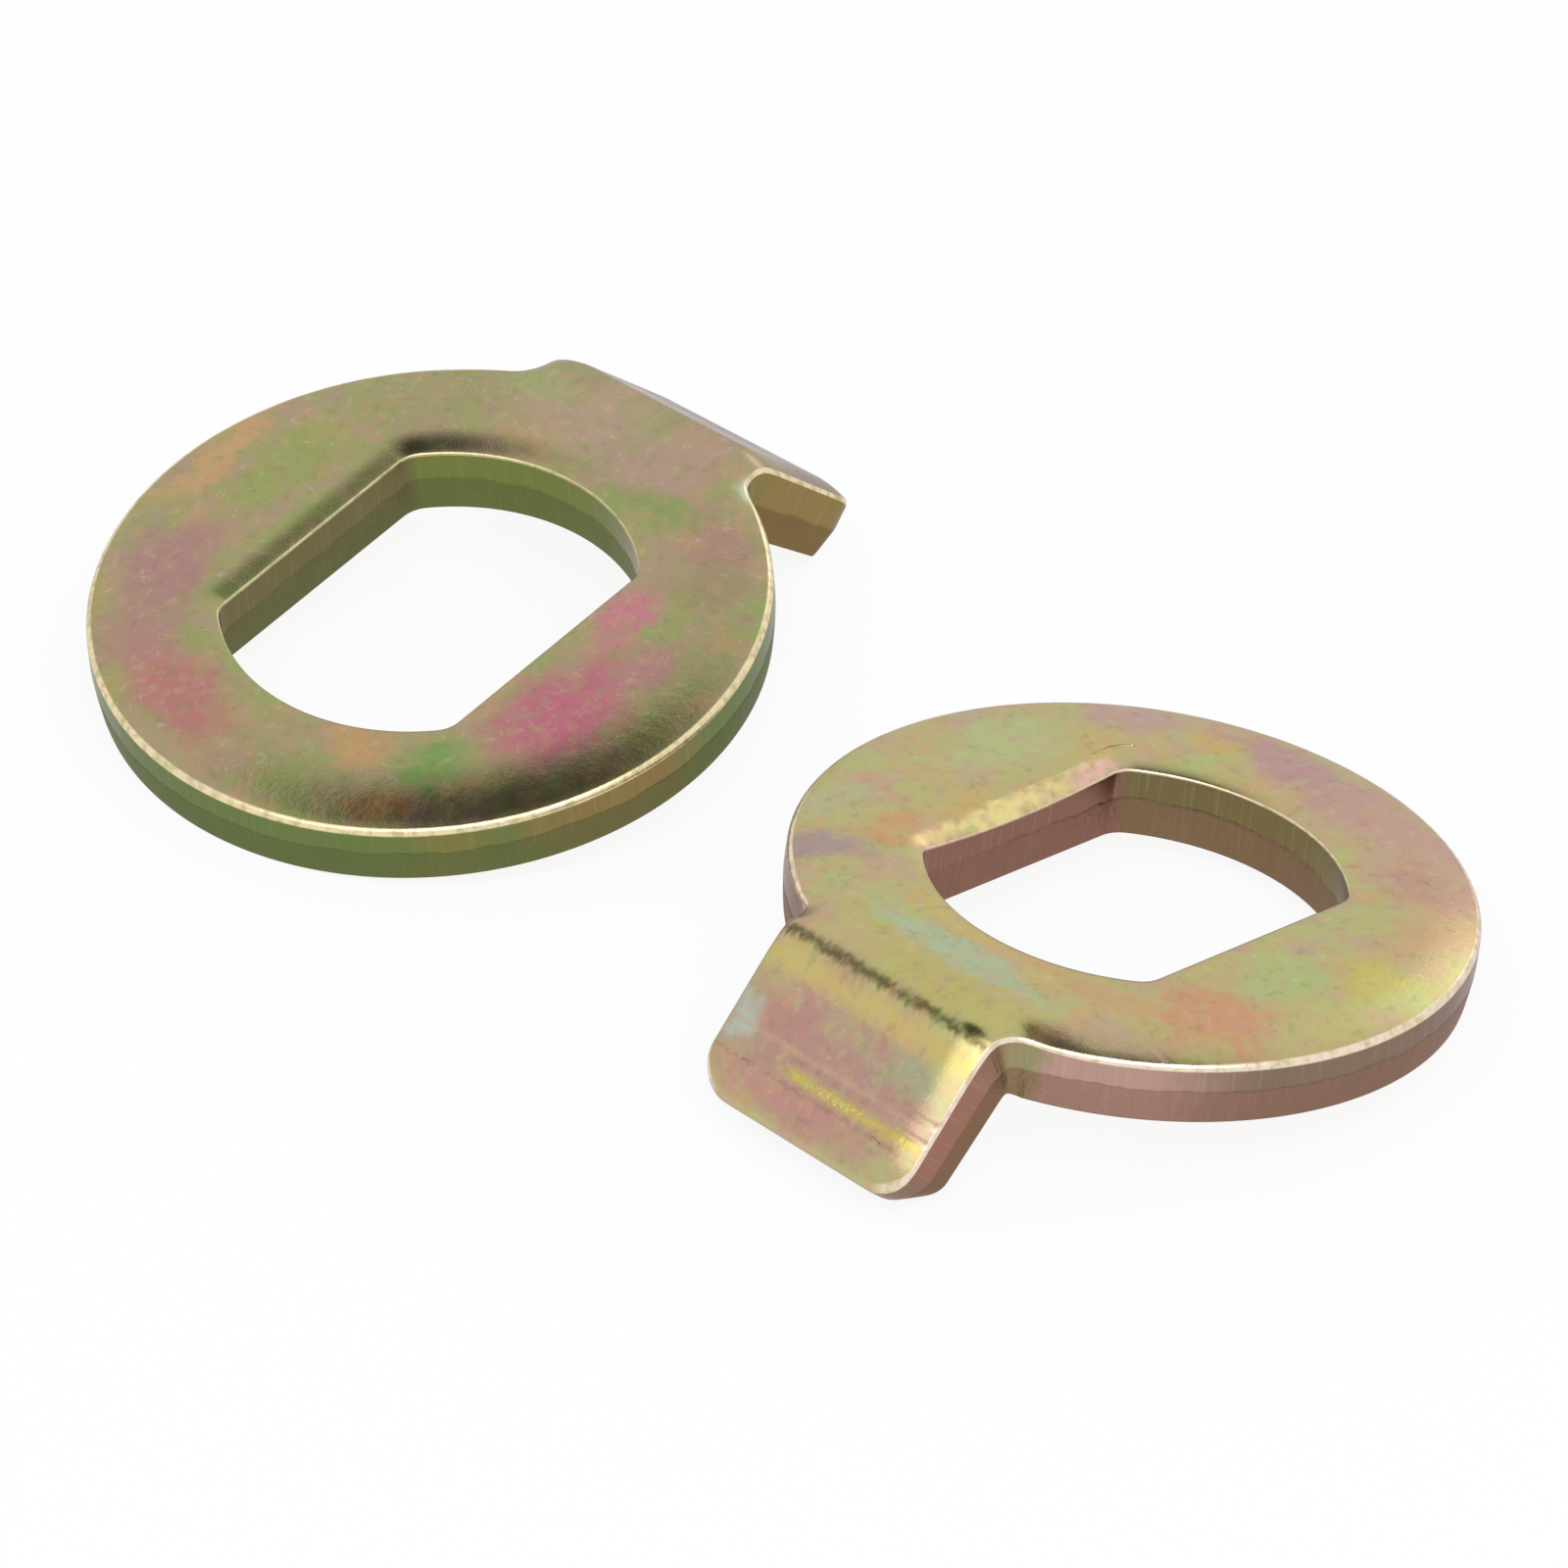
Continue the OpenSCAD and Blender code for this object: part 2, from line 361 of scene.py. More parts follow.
# %% Bending
def formed(p, form):
    """A point of the blank after the die has thinned the tab from below and drawn in its end."""
    past = (p.x - form.leg_x) / (form.end - tip_draw - form.leg_x)
    thin = (sheet - tip_t) * min(max(past, 0), 1)
    low = max(0.0, 1 - p.z / torn_top)
    draw = (tip_draw - tear_in) * low * min(max((p.x - form.corner_x) / (corner_r - tear_in - skin), 0), 1)
    return Vector((p.x - draw, p.y, p.z + thin * max(0.0, 1 - p.z / sheet)))


def crest_point(path, form):
    """A point along the outside of the bend, which turns tighter past its crest."""
    whole = bend_inner + sheet
    round_part = whole * form.crest
    left = form.angle - form.crest
    flat = (whole - crest_r) * math.tan(left / 2)
    path *= round_part + 2 * flat + crest_r * left
    if path < round_part:
        return bend_start + whole * math.sin(path / whole), whole * math.cos(path / whole) - bend_inner
    path -= round_part
    over = form.crest + min(max((path - flat) / crest_r, 0), left)
    before, after = min(path, flat), max(path - flat - crest_r * left, 0)
    x = (whole - crest_r) * math.sin(form.crest) + before * math.cos(form.crest)
    z = (whole - crest_r) * math.cos(form.crest) - before * math.sin(form.crest)
    return (bend_start + x + crest_r * math.sin(over) + after * math.cos(form.angle),
            z + crest_r * math.cos(over) - after * math.sin(form.angle) - bend_inner)


def bent(p, form):
    """Where a point of the flat blank ends up on the bent washer."""
    p = formed(p, form)
    run = min(max(p.x - bend_start, 0), form.bend_run)
    turn = form.angle * run / form.bend_run
    reach = bend_inner + p.z
    rest = p.x - bend_start - run
    x = bend_start + reach * math.sin(turn) + rest * math.cos(turn)
    z = reach * math.cos(turn) - bend_inner - rest * math.sin(turn)
    if 0 < run < form.bend_run:
        sharp_x, sharp_z = crest_point(run / form.bend_run, form)
        share = max(p.z / sheet, 0) ** 3
        round_x = bend_start + (bend_inner + sheet) * math.sin(turn)
        round_z = (bend_inner + sheet) * math.cos(turn) - bend_inner
        x, z = x + share * (sharp_x - round_x), z + share * (sharp_z - round_z)
    return Vector((x, p.y, z))


# A washer leans until the tip of its tab and the far edge of its disc are level.
foot_r = disc_r - tear_in


def lean_and_lift(form):
    """The angle at which a washer leans, and how high that lifts the middle of its disc."""
    tip = bent(Vector((form.end - tear_in - skin, 0, 0)), form)
    lean = math.atan2(-tip.z, tip.x + foot_r)
    return lean, foot_r * math.sin(lean)


for each_form in (left_form, right_form):
    lean, lift = lean_and_lift(each_form)
    print("lean", round(math.degrees(lean), 2), "degrees, middle", round(lift, 2), "mm up")

# %% [markdown]
# The washer grows from one ring of edges. The ring is extruded and set to its next place again and
# again: up the outer wall, over the rolled edge, across the upper face, down into the hole and back
# underneath, where the last ring is welded to the first. An alternative is a plain disc with the
# hole and the rounded edges cut and bevelled in, but a bevel can't give the flat, wide roll that a
# punch leaves, and the rings give each point its place on the blank, which the plating needs.

# %% Growing rings
def drawn_out(bm, row, spots, closed=True):
    """Extrudes a ring or row of edges to new spots, and returns its new corners in order."""
    pairs = list(zip(row, row[1:] + row[:1])) if closed else list(zip(row, row[1:]))
    edges = [bm.edges.get(pair) for pair in pairs]
    made = bmesh.ops.extrude_edge_only(bm, edges=edges)["geom"]
    fresh = {v for v in made if isinstance(v, bmesh.types.BMVert)}
    grown = [next(e.other_vert(v) for e in v.link_edges if e.other_vert(v) in fresh) for v in row]
    for vert, spot in zip(grown, spots):
        vert.co = spot
    return grown


def spots_of(ring):
    """A ring's points and heights as places in space."""
    return [Vector((p.x, p.y, z)) for p, z in ring]


def between(start, end, share):
    """A ring part of the way from one ring of places to another."""
    return [a.lerp(b, share) for a, b in zip(start, end)]


print("one ring has", len(spots_of(outer_rings(left_form)[0])), "corners")


# %% [markdown]
# The tab's two broad faces are grids, with rows that run straight across from one side to the
# other. Straight rows bend cleanly, while rings that narrow towards the tip would cross the bend
# askew and show as dark creases. The grid is set between the stations of the two sides and welded
# to them, and the rest of the disc's face then closes round its first row as one ring.

# %% The faces of the tab
def tab_face(bm, rim):
    """Fills the tab's face inside a ring of the outline, and returns the ring round the disc's face."""
    end = disc_stations + tab_rows
    tip_row = rim[end:len(rim) - end + 1]
    grid = bmesh.ops.create_grid(bm, x_segments=across, y_segments=tab_rows, size=1)["verts"]
    rows = [grid[i * (across + 1):(i + 1) * (across + 1)] for i in range(tab_rows + 1)]
    welds = {}
    for i, row in enumerate(rows):
        ends = rim[disc_stations + i], rim[-disc_stations - i]
        for j, vert in enumerate(row):
            vert.co = ends[0].co.lerp(ends[1].co, j / across)
        welds[row[0]], welds[row[-1]] = ends
    welds.update(zip(rows[-1], tip_row))
    root = [rim[disc_stations]] + rows[0][1:-1] + [rim[-disc_stations]]
    bmesh.ops.weld_verts(bm, targetmap=welds)
    return rim[:disc_stations] + root + rim[len(rim) - disc_stations + 1:]


print("a tab's face has", tab_rows, "rows of", across, "faces")

# %% [markdown]
# Each point keeps its place on the flat blank, and its distance from the rim and from the hole, as
# attributes of the mesh. The finish reads them, so that its colours and marks follow the sheet
# round the bend. A texture on the room's axes would run through the metal like the grain in wood.

# %% Distances on the blank
tab_root_x = 6


def rim_distance(p, form):
    """How far a point lies from the nearest part of the outline. The tab counts past its root only."""
    on_disc = disc_r - math.hypot(p.x, p.y)
    on_tab = min(half_tab - abs(p.y), form.end - p.x)
    return max(on_disc, on_tab) if p.x > tab_root_x else on_disc


def hole_distance(p):
    """How far a point lies from the edge of the hole."""
    return max(math.hypot(p.x, p.y) - hole_r, abs(p.y) - hole_flat)


print("the far edge is", round(hole_distance(Vector((-disc_r, 0, 0))), 2), "mm from the hole")

# %% [markdown]
# Now one washer is put together. Every ring that belongs to a wall or a rolled edge is remembered
# with its level, so that its corners can be marked as torn, as wall or as the small round corner.
# The marks are made before the rings underneath are grown, and the bend comes last of all.

# %% One washer
face_rings, foot_rings = 12, 16
weld_gap = 1e-5


def washer_mesh(name, form):
    """One whole washer, bent but not yet in its place, as a bmesh that carries its own fields."""
    bm = bmesh.new()
    outer, inner = outer_rings(form), inner_rings(form)
    on_blank = bm.verts.layers.float_vector.new("on_blank")
    fields = ("from_rim", "from_hole", "torn", "wall", "corner")
    layers = {field: bm.verts.layers.float.new(field) for field in fields}
    marked = []
    foot = bmesh.ops.create_circle(bm, segments=len(outer[0]), radius=disc_r)["verts"]
    for vert, spot in zip(foot, spots_of(outer[0])):
        vert.co = spot
    ring = foot
    marked.append((0, list(foot)))
    for i, level in enumerate(outer[1:], 1):
        ring = drawn_out(bm, ring, spots_of(level))
        marked.append((i, list(ring)))
    ring = tab_face(bm, ring)
    rim, lip = [v.co.copy() for v in ring], spots_of(inner[-1])
    for i in range(1, face_rings):
        ring = drawn_out(bm, ring, between(rim, lip, i / face_rings))
    for i, level in reversed(list(enumerate(inner))):
        ring = drawn_out(bm, ring, spots_of(level))
        marked.append((i, list(ring)))
    for i, verts in marked:
        for vert in verts:
            vert[layers["torn"]] = float(i < len(torn_steps))
            vert[layers["wall"]] = float(i <= wall_levels)
            vert[layers["corner"]] = float(wall_levels < i < wall_levels + corner_steps)
    hole_edge, foot_edge = [v.co.copy() for v in ring], tab_face(bm, foot)
    foot_spots = [v.co.copy() for v in foot_edge]
    for i in range(1, foot_rings + 1):
        ring = drawn_out(bm, ring, between(hole_edge, foot_spots, i / foot_rings))
    bmesh.ops.remove_doubles(bm, verts=bm.verts, dist=weld_gap)
    for vert in bm.verts:
        vert[on_blank] = vert.co
        vert[layers["from_rim"]] = rim_distance(vert.co, form) - skin
        vert[layers["from_hole"]] = hole_distance(vert.co)
        vert.co = bent(vert.co, form)
    bmesh.ops.recalc_face_normals(bm, faces=bm.faces)
    print(name, "has", len(bm.faces), "faces, open edges:", sum(e.is_boundary for e in bm.edges))
    return bm


# %% [markdown]
# A loose washer with a bent tab can't lie flat. It leans on two places: the tip of the tab and the
# far edge of the disc. The pair lie side by side on one line, with their tabs pointing away from
# each other. The place goes into the mesh and the object stays at the origin, so that a pattern on
# the object's own coordinates keeps its place on the metal.

# %% The pair
centres = 28.4
line_turn = math.radians(-35.2)
left_turn, right_turn = math.radians(48), math.radians(224)
pair_shift = -0.6
millimetre = 0.001


def lying(form, turn, side):
    """The matrix that leans a washer, turns it and sets it on its side of the pair, in metres."""
    lean, lift = lean_and_lift(form)
    return (
        Matrix.Scale(millimetre, 4)
        @ Matrix.Translation((0, pair_shift, 0))
        @ Matrix.Rotation(line_turn, 4, "Z")
        @ Matrix.Translation((side * centres / 2, 0, lift))
        @ Matrix.Rotation(turn - line_turn, 4, "Z")
        @ Matrix.Rotation(-lean, 4, "Y")
    )


def make_washer(name, node, form, turn, side):
    """One washer as a piece of the scene, in the place of its solid."""
    bm = washer_mesh(name, form)
    bmesh.ops.transform(bm, matrix=lying(form, turn, side), verts=bm.verts)
    for face in bm.faces:
        face.smooth = True
    mesh = bpy.data.meshes.new(name)
    bm.to_mesh(mesh)
    bm.free()
    washer = bpy.data.objects.new(name, mesh)
    bpy.context.scene.collection.objects.link(washer)
    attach(washer, "root")
    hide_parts(node)
    return washer


left_piece = make_washer("left_plated_washer", "left_washer", left_form, left_turn, -1)
right_piece = make_washer("right_plated_washer", "right_washer", right_form, right_turn, 1)

# %% [markdown]
# A finish is a small program that runs at each point of the surface. Long programs made of loose
# nodes are hard to read, so a small class stands for a value that changes over the surface, and
# plus, minus and times on it add the nodes. Python's own numbers stay numbers.

# %% Shader maths
class Field:
    """A value of a node tree that changes from point to point."""

    def __init__(self, finish, socket):
        self.finish, self.socket = finish, socket

    def maths(self, operation, *values):
        return self.finish.node("ShaderNodeMath", {"operation": operation}, dict(enumerate(values)))

    def __add__(self, other):
        return self.maths("ADD", self, other)

    def __sub__(self, other):
        return self.maths("SUBTRACT", self, other)

    def __rsub__(self, other):
        return self.maths("SUBTRACT", other, self)

    def __mul__(self, other):
        return self.maths("MULTIPLY", self, other)

    __radd__, __rmul__ = __add__, __mul__

    def absolute(self):
        return self.maths("ABSOLUTE", self)

    def step(self, start, end):
        """0 before start and 1 past end, with a smooth rise. With start above end it falls."""
        low, high = min(start, end), max(start, end)
        ends = (0, 1) if start < end else (1, 0)
        sockets = {0: self, 1: low, 2: high, 3: ends[0], 4: ends[1]}
        return self.finish.node("ShaderNodeMapRange", {"interpolation_type": "SMOOTHSTEP"}, sockets)

    def band(self, middle, half):
        """1 at the middle, 0 past half to both sides."""
        return (self - middle).absolute().step(half, 0)


# A cloud goes right through the sheet
cloud_depth = 20


class Finish:
    """A node tree that adds nodes by type, settings and the values or links of their sockets."""

    def __init__(self, tree):
        self.tree = tree

    def node(self, kind, settings=None, sockets=None, out=0):
        node = self.tree.nodes.new(kind)
        for key, value in (settings or {}).items():
            setattr(node, key, value)
        for key, value in (sockets or {}).items():
            if isinstance(value, Field):
                self.tree.links.new(value.socket, node.inputs[key])
            else:
                node.inputs[key].default_value = value
        return Field(self, node.outputs[out])

    def vector(self, operation, *values, out=0):
        """A sum on places or directions instead of single values."""
        return self.node("ShaderNodeVectorMath", {"operation": operation}, dict(enumerate(values)), out)

    def mixed(self, share, first, second):
        """One colour over another, by a share from 0 to 1."""
        return self.node("ShaderNodeMix", {"data_type": "RGBA"}, {0: share, 6: first, 7: second}, out=2)

    def grain(self, place, size, detail=2.0, stretch=None, out=0):
        """Noise whose lumps are about size millimetres across."""
        if stretch:
            place = self.vector("MULTIPLY", place, stretch)
        sockets = {"Vector": place, "Scale": 1 / size, "Detail": detail}
        return self.node("ShaderNodeTexNoise", None, sockets, out)

    def blot(self, place, centre, reach, turn=0.0):
        """A soft oval on the blank: 1 in its middle, 0 outside."""
        where = {"Location": (*centre, sheet), "Rotation": (0, 0, math.radians(turn))}
        sockets = {"Vector": place, **where, "Scale": (*reach, cloud_depth)}
        oval = self.node("ShaderNodeMapping", {"vector_type": "TEXTURE"}, sockets)
        return self.vector("LENGTH", oval, out=1).step(1.25, 0.35)


def seen(red, green, blue, light=1.0):
    """The metal's own colour where a face that gets this much light shows a colour from 0 to 255."""
    def linear(v):
        v /= 255
        return v / 12.92 if v <= 0.04045 else ((v + 0.055) / 1.055) ** 2.4
    return (*(min(linear(v) / light, 1) for v in (red, green, blue)), 1)


print("an olive seen as 158 152 104 is", [round(v, 3) for v in seen(158, 152, 104)])

# %% [markdown]
# The chromate film is thinner than a wavelength of light or a few of them, so small differences in
# its thickness turn olive into gold, pink or pale green. The film grows in clouds, not in a regular
# pattern. Here the clouds are soft ovals laid where each washer has them, with edges pushed
# about by noise. A rainbow ramp on noise alone would be quicker, but its colours come in even
# stripes, like oil on water, which such plating doesn't show.

# %% Clouds of the left washer
top_light = 0.9
left_ground = seen(156, 152, 104, top_light)
left_tints = seen(186, 148, 112, top_light), seen(142, 156, 92, top_light), seen(170, 140, 124, top_light)
# Each cloud: middle, reach along and across the blank, turn, colour, strength
left_clouds = [
    ((8.2, 7.0), (3.4, 2.4), 0, seen(154, 148, 104, top_light), 0.8),
    ((1.8, 8.2), (3.6, 1.3), 0, seen(148, 157, 90, top_light), 0.8),
    ((0.8, 10.7), (3.4, 0.8), 0, seen(192, 154, 108, top_light), 0.8),
    ((-4.3, 8.1), (2.6, 1.7), 15, seen(168, 126, 121, top_light), 0.95),
    ((-7.4, 6.6), (2.2, 1.6), 40, seen(168, 130, 119, top_light), 0.9),
    ((-9.0, 3.6), (1.5, 3.0), -10, seen(178, 120, 114, top_light), 0.95),
    ((-8.6, -0.8), (1.5, 1.6), 0, seen(164, 146, 110, top_light), 0.6),
    ((-7.3, -3.7), (0.9, 1.8), 0, seen(190, 148, 100, top_light), 0.85),
    ((-9.2, -5.6), (0.8, 1.3), 30, seen(176, 128, 84, top_light), 0.8),
    ((-6.8, -6.3), (1.3, 1.2), 0, seen(120, 152, 84, top_light), 0.9),
    ((-2.0, -7.7), (3.7, 2.0), 4, seen(182, 108, 120, top_light), 1.0),
    ((1.4, -8.4), (1.8, 1.3), 0, seen(176, 122, 124, top_light), 0.8),
    ((2.9, -6.4), (2.0, 0.8), 4, seen(192, 122, 132, top_light), 0.9),
    ((5.8, -7.6), (1.6, 1.2), -30, seen(152, 140, 104, top_light), 0.8),
    ((7.4, -6.4), (1.4, 1.6), -40, seen(164, 126, 116, top_light), 0.7),
    ((7.5, -3.2), (0.8, 2.2), 0, seen(134, 152, 88, top_light), 0.8),
    ((9.6, 1.8), (2.0, 3.0), 0, seen(176, 150, 130, top_light), 0.8),
    ((9.8, -2.4), (1.9, 2.0), 0, seen(174, 146, 128, top_light), 0.85),
    ((10.4, 4.0), (0.8, 2.2), 0, seen(160, 164, 112, top_light), 0.7),
    ((10.9, -5.4), (1.0, 0.7), 0, seen(196, 194, 186, top_light), 0.8),
    ((14.6, 0.0), (3.2, 7.0), 0, seen(132, 104, 102), 1.0),
    ((14.6, -2.6), (1.8, 1.2), 0, seen(120, 122, 90), 0.7),
]
print("clouds on the left washer:", len(left_clouds))

# %% [markdown]
# The right washer is paler and more golden, with thin clouds that follow the tab across. Two thin
# bright stripes along the bevelled flat of the hole are painted highlight. It also carries the marks of
# the bending tool: straight lines across the tab, yellow further on from where the bend starts. They
# are lines and not clouds, because a tool leaves them. The dark line where the bend starts is painted
# shade on the bend's crest, laid in as one more line.

# %% Clouds and marks of the right washer
tab_light = 0.95
right_ground = seen(190, 180, 120)
right_tints = seen(206, 162, 120), seen(178, 190, 124), seen(196, 160, 142)
right_clouds_and_bevel_highlight = [
    ((-9.4, 2.6), (2.2, 5.6), 0, seen(196, 158, 142), 0.9),
    ((-9.6, -2.0), (1.6, 3.0), 0, seen(188, 148, 143), 0.85),
    ((-7.6, 6.4), (1.6, 2.0), 30, seen(192, 150, 132), 0.8),
    ((-5.2, 8.4), (2.4, 1.8), 20, seen(202, 166, 126), 0.8),
    ((-1.8, 9.2), (1.9, 1.6), 0, seen(198, 190, 100), 0.85),
    ((1.0, 8.2), (1.6, 1.8), 0, seen(176, 192, 122), 0.9),
    ((4.6, 8.2), (2.3, 2.2), -20, seen(208, 152, 116), 0.9),
    ((6.9, 5.2), (1.1, 2.4), 25, seen(204, 160, 116), 0.7),
    ((7.8, 0.4), (0.9, 5.0), 0, seen(204, 180, 112), 0.7),
    ((9.2, 0.2), (0.8, 5.0), 0, seen(176, 190, 152), 0.9),
    ((10.5, 0.4), (0.8, 5.2), 0, seen(190, 180, 108), 0.9),
    ((-2.0, -8.6), (3.2, 1.7), 0, seen(184, 192, 134), 0.7),
    ((-4.6, -6.6), (1.6, 1.0), 0, seen(204, 178, 108), 0.7),
    ((2.0, -6.6), (2.4, 0.9), 0, seen(204, 176, 106), 0.7),
    ((5.0, -6.6), (1.3, 0.9), -30, seen(208, 160, 106), 0.8),
    ((5.0, -9.2), (1.6, 1.0), -20, seen(180, 188, 140), 0.6),
    ((7.8, -7.8), (2.2, 1.2), -42, seen(172, 150, 142), 1.0),
    ((-7.7, -7.4), (1.6, 2.2), 45, seen(194, 160, 150), 0.8),
    ((-8.4, -4.6), (1.0, 1.1), 0, seen(204, 178, 100), 0.8),
    ((14.4, 0.0), (2.9, 6.4), 0, seen(178, 140, 126, tab_light), 1.0),
    ((13.1, 2.9), (1.0, 1.8), 0, seen(158, 164, 132, tab_light), 0.9),
    ((12.9, -0.4), (0.7, 1.4), 0, seen(176, 156, 128, tab_light), 0.7),
    ((13.4, -2.6), (0.9, 1.6), 0, seen(184, 136, 126, tab_light), 0.8),
    ((14.2, -4.1), (1.1, 0.9), 0, seen(178, 186, 168, tab_light), 1.0),
    ((15.9, -1.0), (0.6, 3.6), 0, seen(190, 140, 128, tab_light), 0.8),
    # painted highlight: two bright stripes along the bevelled flat of the hole
    ((0.6, -5.6), (4.4, 0.4), 0, seen(234, 216, 146), 1.0),
    ((-3.7, -5.6), (1.3, 0.4), 0, seen(230, 186, 170), 0.9),
]
# Each line: place along the tab, middle and reach across it, half its width, colour, strength.
# The dark second one is painted shade on the crest of the bend; the others are tool marks.
right_marks_and_crest_shade = [
    (11.98, 0.0, 8.0, 0.5, seen(206, 184, 112), 0.8),
    # painted shade: the dark line on the crest of the bend
    (11.46, 0.0, 8.0, 0.2, seen(84, 76, 44), 0.85),
    (14.3, 0.0, 8.0, 0.2, seen(196, 160, 140, tab_light), 0.5),
    (15.0, 1.6, 4.4, 0.42, seen(196, 180, 92, tab_light), 0.9),
    (15.45, 0.0, 7.0, 0.12, seen(160, 120, 104, tab_light), 0.5),
]
print("clouds on the right washer:", len(right_clouds_and_bevel_highlight), "and tool marks:", len(right_marks_and_crest_shade))

# %% [markdown]
# Each kind of mark on the plating gets a short function of its own below, and they all read the same
# fields. A class holds those: the place on the blank, the distances from the rim and from the hole,
# and which points are on a wall, in its torn part or on the small corner of a rolled edge. It also
# holds two copies of the place that noise pushes about, because an oval laid on a pushed place gets
# the frayed edge of a real cloud.

# %% The fields of a washer
narrow_cloud = 0.75


class Plating(Finish):
    """A washer's finish, with what its mesh carries and the noise that several marks share."""

    def __init__(self, tree, seed):
        super().__init__(tree)
        self.blank = self.mesh_field("on_blank", 1)
        self.along = self.node("ShaderNodeSeparateXYZ", None, {0: self.blank}, 0)
        self.aside = self.node("ShaderNodeSeparateXYZ", None, {0: self.blank}, 1)
        self.torn, self.corner, wall = (self.mesh_field(field) for field in ("torn", "corner", "wall"))
        self.rim, hole = self.mesh_field("from_rim"), self.mesh_field("from_hole")
        self.at_rim, self.at_hole = self.rim.step(1.0, 0.8), hole.step(1.0, 0.8)
        self.outer, self.inner = wall * self.at_rim, wall * self.at_hole
        self.walls = self.outer + self.inner
        self.place = self.vector("ADD", self.blank, (seed, seed * 0.7, seed * 1.3))
        self.frayed = self.pushed_about(self.blank, 0.6, 3, 1.1)
        self.pushed = self.pushed_about(self.frayed, 2.6, 2, 2.8)
        self.mottle = self.grain(self.place, 0.45, 3)
        self.gouges = self.grain(self.place, 0.22, 3)
        self.upright = self.grain(self.place, 0.12, 3, stretch=(1, 1, 0.05))
        self.lines = self.upright.step(0.52, 0.75) * self.walls

    def mesh_field(self, field, out=2):
        return self.node("ShaderNodeAttribute", {"attribute_name": field}, out=out)

    def pushed_about(self, place, size, detail, reach):
        """A place moved to and fro by noise, by up to half the reach."""
        push = self.vector("SUBTRACT", self.grain(self.place, size, detail, out=1), (0.5, 0.5, 0.5))
        return self.vector("ADD", place, self.vector("MULTIPLY", push, (reach, reach, 0)))

    def moved_grain(self, move, size, detail):
        """Noise read at another place, so that it doesn't follow the other noise."""
        return self.grain(self.vector("ADD", self.place, move), size, detail)

    def tinted(self, colour, tints, size, detail, start, full, strength):
        """Patches of three tints, each on a channel of noise that doesn't follow the others."""
        drift = self.grain(self.place, size, detail, out=1)
        channels = [self.node("ShaderNodeSeparateColor", None, {0: drift}, i) for i in range(3)]
        for channel, tint in zip(channels, tints):
            colour = self.mixed(channel.step(start, full) * strength, colour, tint)
        return colour

    def clouded(self, colour, clouds):
        """Soft clouds laid over a colour one by one."""
        for centre, reach, turn, tint, strength in clouds:
            place = self.frayed if min(reach) < narrow_cloud else self.pushed
            colour = self.mixed(self.blot(place, centre, reach, turn) * strength, colour, tint)
        return colour


print("narrow clouds, which keep their shape:", sum(min(cloud[1]) < narrow_cloud for cloud in right_clouds_and_bevel_highlight))

# %% [markdown]
# The film isn't even between its clouds or on them. Wide patches of three tints lie under the clouds,
# and small blotches of the same tints and of lighter and darker film lie over them, as where drops
# dried. A painted image could show this too, but it would blur close up, where noise stays sharp.

# %% The film
pale_film, dark_film = seen(208, 198, 150), seen(126, 104, 84)


def film(finish, ground, tints, clouds):
    """The ground colour with its wide patches and the clouds."""
    return finish.clouded(finish.tinted(ground, tints, 2.2, 3, 0.48, 0.62, 0.55), clouds)


def with_blotches(finish, colour, tints):
    """The small blotches over the clouds."""
    colour = finish.tinted(colour, tints, 0.7, 4, 0.53, 0.68, 0.32)
    colour = finish.mixed(finish.mottle.step(0.55, 0.78) * 0.25, colour, pale_film)
    return finish.mixed(finish.mottle.step(0.46, 0.25) * 0.22, colour, dark_film)


print("pale film:", [round(v, 2) for v in pale_film], "dark film:", [round(v, 2) for v in dark_film])

# %% [markdown]
# The bending tool leaves straight lines across the tab, where the film takes another colour. Each
# one is a narrow band of the place along the tab, made a little ragged by noise, and it fades out at
# both ends. Long clouds would wander with the noise that pushes them about, and these lines don't.
# The dark line on the crest of the bend is painted shade, laid as one more such line.

# %% Marks of the bending tool and painted shade at the bend
ragged_by = 0.35


def with_tool_marks_and_crest_shade(finish, colour, marks):
    """The lines that the bending tool left, and the painted shade on the crest of the bend."""
    ragged = finish.along + (finish.grain(finish.place, 0.3, 3) - 0.5) * ragged_by
    for middle, side, reach, half, tint, strength in marks:
        # each band is a tool mark, except the dark one on the bend's crest, which is painted shade
        mark = ragged.band(middle, half) * finish.aside.band(side, reach).step(0, 0.4) * strength
        colour = finish.mixed(mark, colour, tint)
    return colour


print("tool marks:", [mark[0] for mark in right_marks_and_crest_shade], "mm along")

# %% [markdown]
# The walls are browner than the faces and carry fine upright lines from the punch. Their torn part is
# rough and dark, with a shadow where the tearing starts. A second material on the wall's faces would
# be simpler, but it would begin as sharply as a face does. The mesh's own fields fade into each other.

# %% The walls
torn_tab, tear_shadow, line_shadow = seen(126, 102, 64), seen(70, 66, 40), seen(72, 62, 44)


